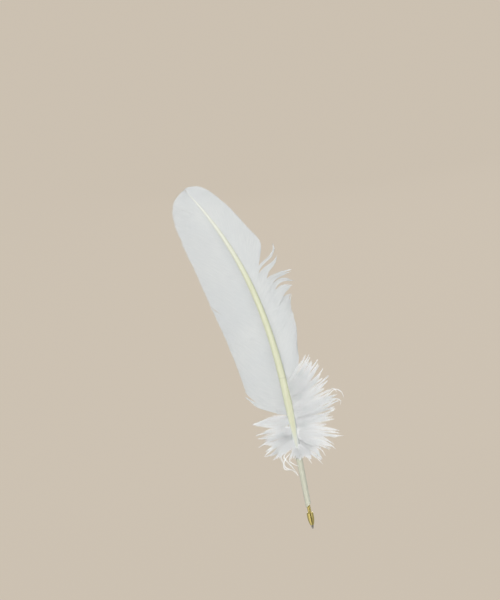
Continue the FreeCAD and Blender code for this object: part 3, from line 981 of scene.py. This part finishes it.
def build_down(material):
    """The down of both sides, the tufts over the calamus's top, and the hanging wisps."""
    for side, name, rows in (
        (LEADING, "down_leading", LEADING_DOWN),
        (TRAILING, "down_trailing", TRAILING_DOWN),
    ):
        for i, row in enumerate(rows):
            node_name = f"{name}_{i + 1:02d}"
            parts = down_parts(node_name, row, side, i)
            if i == len(rows) - 1:
                for cover in COVER_TUFTS[side]:
                    tuft = down_arrays(cover, side, COVER_LAYER, 14, 3, COVER_ROOT_Y)
                    parts.append(tuft)
            piece = add_piece(node_name + "_rami", join_arrays(parts), material)
            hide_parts(node_name)
    for node_name in (name for name in STRANDS if name.startswith("wisp")):
        strands = [strand_arrays(line, k) for k, line in enumerate(STRANDS[node_name])]
        piece = add_piece(node_name + "_rami", join_arrays(strands), material)
        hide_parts(node_name)


def build_refill():
    """The turned nose, drawn tube, turned point and ground ball, from their half sections."""
    brass = metal_material("brass_turned", (0.65, 0.52, 0.17), (0.74, 0.61, 0.23), 0.22)
    drawn = ("brass_drawn", (0.70, 0.56, 0.19), (0.77, 0.64, 0.25), 0.20, DRAWN_GRAIN)
    tube = metal_material(*drawn)
    nickel = metal_material("nickel_silver_turned", (0.42, 0.39, 0.34), (0.50, 0.47, 0.41), 0.26)
    carbide = metal_material("carbide_ball", (0.50, 0.50, 0.52), (0.56, 0.56, 0.58), 0.12)
    nose_low, nose_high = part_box("nose_cone")[0].z / MM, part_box("nose_cone")[1].z / MM
    tube_low, tube_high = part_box("ink_tube")[0].z / MM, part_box("ink_tube")[1].z / MM
    low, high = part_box("point_socket")[0].z / MM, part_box("point_socket")[1].z / MM

    land_high = nose_high - NOSE_SHOULDER
    land_low = land_high - NOSE_LAND
    nose = [(TUBE_BORE, nose_low + 0.05), (1.14, nose_low), (TUBE_RADIUS, nose_low)]
    nose += [(1.46, nose_low + 0.04)]
    nose += arc((1.48, nose_low + 0.10), (NOSE_RADIUS, land_low), 0.9, 26)
    nose += [(NOSE_RADIUS, land_low + 0.8), (NOSE_RADIUS, land_high - 0.06), (2.66, land_high)]
    nose += [(1.99, nose_high - 0.03), (1.94, nose_high), (1.42, nose_high)]
    nose += [(TUBE_RADIUS, nose_high - 0.05), (TUBE_RADIUS, tube_low), (TUBE_BORE, tube_low)]
    piece = lathe("nose_cone_turned", nose, brass, "refill")
    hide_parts("nose_cone")

    barrel = [(TUBE_BORE, tube_low), (TUBE_RADIUS, tube_low), (TUBE_RADIUS, tube_high - 0.04)]
    barrel += [(1.37, tube_high), (1.13, tube_high), (TUBE_BORE, tube_high - 0.04)]
    piece = lathe("ink_tube_drawn", barrel, tube, "refill")
    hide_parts("ink_tube")

    cone_top = nose_low - POINT_SHOWING
    socket = [(0.20, high), (0.20, 0.98), (0.36, 0.87), (0.47, 0.72), (0.52, 0.50)]
    socket += [(0.49, low + 0.02), (0.46, low), (0.50, low + 0.02), (0.508, low + 0.05)]
    socket += [(1.09, cone_top - 0.03), (TUBE_BORE, cone_top), (TUBE_BORE, high)]
    piece = lathe("point_socket_turned", socket, nickel, "refill")
    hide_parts("point_socket")

    turns = np.linspace(0.001, math.pi - 0.001, 33)
    ball = [(BALL_RADIUS * math.sin(a), BALL_RADIUS - BALL_RADIUS * math.cos(a)) for a in turns]
    piece = lathe("writing_ball_ground", ball, carbide, "ball")
    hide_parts("writing_ball")


def dress_hidden_nodes():
    """The inner CAD solids keep their shapes and get their own materials."""
    looks = (
        ("ink_charge", "ink_paste", (0.005, 0.006, 0.02), (0.01, 0.012, 0.04), 0.2, 800),
        ("ink_follower", "follower_grease", (0.6, 0.56, 0.42), (0.7, 0.66, 0.5), 0.25, 600),
        ("mouth_bush", "bush_nylon", (0.62, 0.60, 0.52), (0.70, 0.68, 0.60), 0.5, 900),
        ("umbilicus_plug", "plug_pith", (0.70, 0.68, 0.60), (0.84, 0.82, 0.74), 0.85, 1500),
        ("rachis_pith", "rachis_foam", (0.78, 0.77, 0.70), (0.88, 0.87, 0.80), 0.9, 1800),
    )
    for node_name, *look in looks:
        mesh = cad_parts[node_name].data
        mesh.materials.clear()
        mesh.materials.append(plain_material(*look))


# ---- Studio ----
# The stage, in metres.
FLOOR_Z = -0.052
FLOOR_FLAT = 1.0
STAGE_RADIUS = 2.6
WALL_RISE = 3.2
DOME_RISE = 1.4


def glowing_material(name, base, glow, strength, roughness):
    """A surface that shows one even colour, whatever the light."""
    material, _, shader = new_material(name, Roughness=roughness, Specular_IOR_Level=0.0)
    set_inputs(shader, Base_Color=(*base, 1), Emission_Color=(*glow, 1), Emission_Strength=strength)
    return material


def make_stage():
    """Seamless floor that curves up into a dome: an even warm beige that only the camera sees."""
    profile = [(1e-4, FLOOR_Z), (FLOOR_FLAT / 2, FLOOR_Z), (FLOOR_FLAT, FLOOR_Z)]
    for a in np.radians(np.linspace(0, 90, 41))[1:-1]:
        out = FLOOR_FLAT + (STAGE_RADIUS - FLOOR_FLAT) * math.sin(a)
        profile.append((out, FLOOR_Z + WALL_RISE * (1 - math.cos(a))))
    for a in np.radians(np.linspace(0, 90, 21))[:-1]:
        profile.append((STAGE_RADIUS * math.cos(a), FLOOR_Z + WALL_RISE + DOME_RISE * math.sin(a)))
    vertices, index = spun(profile, 96)
    floor = make_mesh("studio_floor", vertices / MM, [quads_between(index[:-1], index[1:])])
    beige, beneath = (0.595, 0.525, 0.435), (0.01, 0.009, 0.008)
    floor.data.materials.append(glowing_material("studio_paper", beneath, beige, 1.0, 0.95))
    floor.visible_diffuse = False
    floor.visible_glossy = False
    floor.visible_transmission = False
    floor.visible_shadow = False


def make_lights():
    """A pale even sky and four soft lamps round the pen."""
    world = bpy.data.worlds.new("studio_air")
    bpy.context.scene.world = world
    world.use_nodes = True
    background = world.node_tree.nodes["Background"]
    background.inputs["Color"].default_value = (0.96, 0.98, 1.0, 1)
    background.inputs["Strength"].default_value = 0.465
    target = Vector((-0.0145, 0, 0.16))
    # name, place, size and power in watts, colour
    for name, place, size, power, colour in (
        ("key", (-1.1, -1.3, 1.2), 0.7, 18, (1.0, 0.99, 0.98)),
        ("front", (0.1, -1.9, 0.04), 1.0, 14.3, (1.0, 1.0, 1.0)),
        ("fill", (1.2, -1.1, 0.4), 1.1, 6, (0.98, 0.99, 1.0)),
        ("rim", (0.3, 1.5, 0.9), 1.0, 20, (1.0, 1.0, 1.0)),
    ):
        light = bpy.data.lights.new(name, "AREA")
        light.size = size
        light.energy = power
        light.color = colour
        lamp = bpy.data.objects.new(name, light)
        lamp.location = place
        lamp.rotation_euler = (target - Vector(place)).to_track_quat("-Z", "Y").to_euler()
        lamp.visible_camera = False
        lamp.visible_glossy = name != "front"
        bpy.context.scene.collection.objects.link(lamp)


def make_card(name, left, right, low, high, glow):
    """Upright card in front of the pen that only shiny surfaces see; all in millimetres."""
    y = -900
    corners = np.array([(left, y, low), (right, y, low), (right, y, high), (left, y, high)])
    card = make_mesh(name, corners, [np.array([[0, 1, 2, 3]])])
    white, beneath = (1.0, 0.99, 0.96), (0.01, 0.01, 0.01)
    card.data.materials.append(glowing_material(name, beneath, white, glow, 1.0))
    card.visible_camera = False
    card.visible_diffuse = False
    card.visible_shadow = False
    card.visible_transmission = False


def make_camera():
    """Faces the dorsal side, turned so that the pen leans as it was laid down."""
    data = bpy.data.cameras.new("camera")
    data.lens = 100
    data.sensor_fit = "AUTO"
    data.sensor_width = 36
    data.clip_start = 0.05
    data.clip_end = 20
    camera = bpy.data.objects.new("camera", data)
    right = Vector((0.9816, 0, -0.1908))
    up = Vector((0.1908, 0, 0.9816))
    back = Vector((0, -1, 0))
    place = Vector((-0.0145, -1.3333, 0.1893))
    camera.matrix_world = Matrix(
        (
            (right.x, up.x, back.x, place.x),
            (right.y, up.y, back.y, place.y),
            (right.z, up.z, back.z, place.z),
            (0, 0, 0, 1),
        )
    )
    bpy.context.scene.collection.objects.link(camera)
    bpy.context.scene.camera = camera


def main():
    make_camera()
    vane = vane_material()
    down = down_material()
    build_vanes(vane)
    build_locks(vane)
    build_down(down)
    rachis = make_rachis(rachis_material())
    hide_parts("rachis")
    calamus = make_calamus(calamus_material())
    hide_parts("calamus")
    build_refill()
    dress_hidden_nodes()
    make_stage()
    make_lights()
    make_card("studio_card_dark", -90, 420, -1500, 900, 0.04)
    make_card("studio_card_white", -2600, -150, -1500, 900, 1.0)
    bpy.context.scene.view_settings.view_transform = "Standard"


main()
